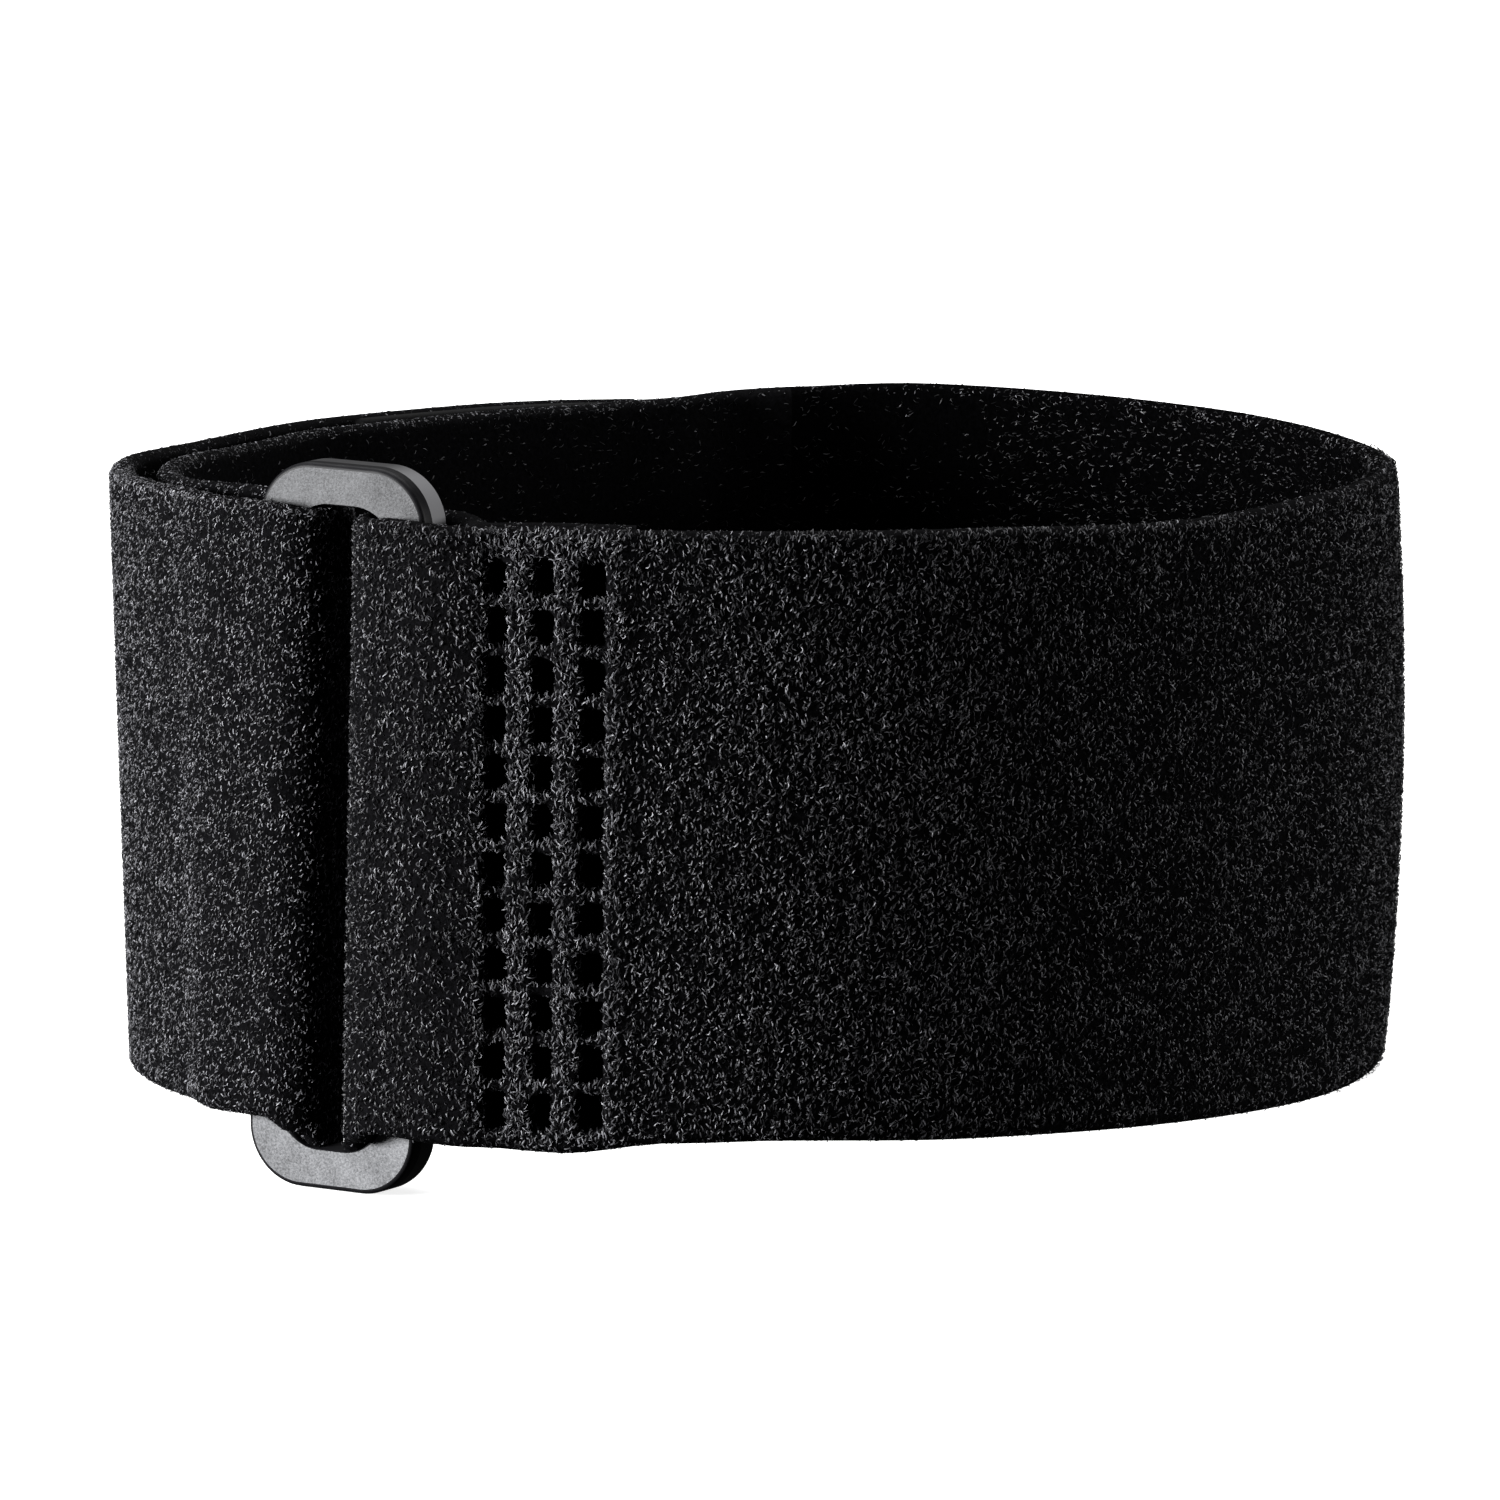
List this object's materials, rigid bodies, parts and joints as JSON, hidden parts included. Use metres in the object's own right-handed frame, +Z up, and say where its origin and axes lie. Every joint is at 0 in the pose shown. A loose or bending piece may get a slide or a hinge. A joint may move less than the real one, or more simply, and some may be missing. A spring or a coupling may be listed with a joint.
{
  "type": "tennis elbow strap",
  "caption": "Loop-pile forearm strap, its folded end welded round a plastic slot ring and its free end pulled back through and laid on itself.",
  "frame": {"origin": "middle of the footprint's bounding box, on the surface that the strap stands on", "axes": "+X to the right seen from the slot ring's side, +Y away from it to the back, +Z up through the arm opening"},
  "size_m": [0.1068, 0.0924, 0.0602],
  "materials": {
    "strap_pile": "matt black brushed loop pile on foam",
    "ring_plastic": "fine-grained grey moulding",
    "hook_tape": "black hook tape"
  },
  "bodies": {
    "root": {"strap": "strap_pile", "slot_ring": "ring_plastic", "hook_tab": "hook_tape"}
  },
  "joints": []
}
